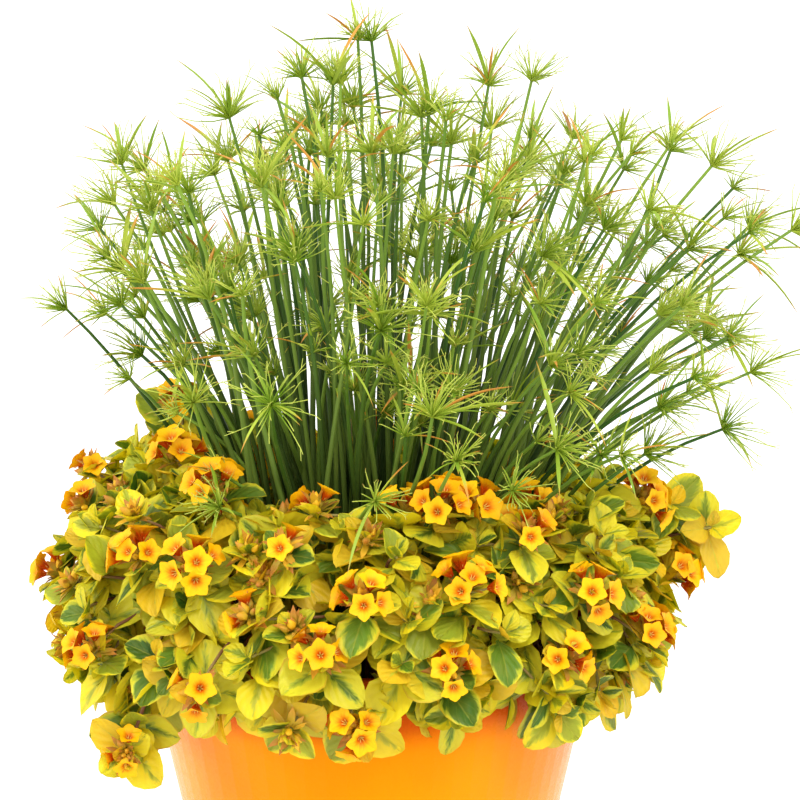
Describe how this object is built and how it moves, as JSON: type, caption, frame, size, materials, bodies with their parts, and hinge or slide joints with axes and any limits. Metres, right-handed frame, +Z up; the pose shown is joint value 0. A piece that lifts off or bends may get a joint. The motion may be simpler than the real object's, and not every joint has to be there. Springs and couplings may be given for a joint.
{
  "type": "potted papyrus plant",
  "caption": "Dwarf papyrus with mop-like umbels rising from a round tapered glossy pot, ringed by trailing variegated loosestrife in flower.",
  "frame": {"origin": "centre of the pot's flat base, on the surface it stands on", "axes": "+Z up along the pot's axis; -Y towards the front of the planting; +X to its right"},
  "size_m": [0.5517, 0.4408, 0.6919],
  "materials": {
    "orange_glaze": "gloss",
    "potting_mix": "matte",
    "papyrus_culm": "satin",
    "loosestrife_leaf": "satin"
  },
  "bodies": {
    "root": {"pot": "orange_glaze", "potting_soil": "potting_mix", "loosestrife_plant_1": "loosestrife_leaf", "loosestrife_plant_2": "loosestrife_leaf", "loosestrife_plant_3": "loosestrife_leaf", "loosestrife_plant_4": "loosestrife_leaf", "loosestrife_plant_5": "loosestrife_leaf", "loosestrife_plant_6": "loosestrife_leaf", "loosestrife_shoot_1": "loosestrife_leaf", "loosestrife_shoot_2": "loosestrife_leaf", "loosestrife_shoot_3": "loosestrife_leaf", "papyrus_inner_tuft_1": "papyrus_culm", "papyrus_inner_tuft_2": "papyrus_culm", "papyrus_inner_tuft_3": "papyrus_culm", "papyrus_inner_tuft_4": "papyrus_culm", "papyrus_inner_tuft_5": "papyrus_culm", "papyrus_inner_tuft_6": "papyrus_culm", "papyrus_culm_01": "papyrus_culm", "papyrus_culm_02": "papyrus_culm", "papyrus_culm_03": "papyrus_culm", "papyrus_culm_04": "papyrus_culm", "papyrus_culm_05": "papyrus_culm", "papyrus_culm_06": "papyrus_culm", "papyrus_culm_07": "papyrus_culm", "papyrus_culm_08": "papyrus_culm", "papyrus_culm_09": "papyrus_culm", "papyrus_culm_10": "papyrus_culm", "papyrus_culm_11": "papyrus_culm", "papyrus_culm_12": "papyrus_culm", "papyrus_culm_13": "papyrus_culm", "papyrus_culm_14": "papyrus_culm", "papyrus_culm_15": "papyrus_culm", "papyrus_culm_16": "papyrus_culm", "papyrus_culm_17": "papyrus_culm", "papyrus_culm_18": "papyrus_culm", "papyrus_culm_19": "papyrus_culm", "papyrus_culm_20": "papyrus_culm", "papyrus_culm_21": "papyrus_culm", "papyrus_culm_22": "papyrus_culm", "papyrus_culm_23": "papyrus_culm", "papyrus_culm_24": "papyrus_culm", "papyrus_culm_25": "papyrus_culm", "papyrus_culm_26": "papyrus_culm", "papyrus_culm_27": "papyrus_culm", "papyrus_culm_28": "papyrus_culm", "papyrus_culm_29": "papyrus_culm", "papyrus_culm_30": "papyrus_culm", "papyrus_culm_31": "papyrus_culm", "papyrus_culm_32": "papyrus_culm", "papyrus_culm_33": "papyrus_culm", "papyrus_culm_34": "papyrus_culm", "papyrus_culm_35": "papyrus_culm", "papyrus_culm_36": "papyrus_culm", "papyrus_culm_37": "papyrus_culm", "papyrus_culm_38": "papyrus_culm", "papyrus_culm_39": "papyrus_culm", "papyrus_culm_40": "papyrus_culm"}
  },
  "joints": []
}
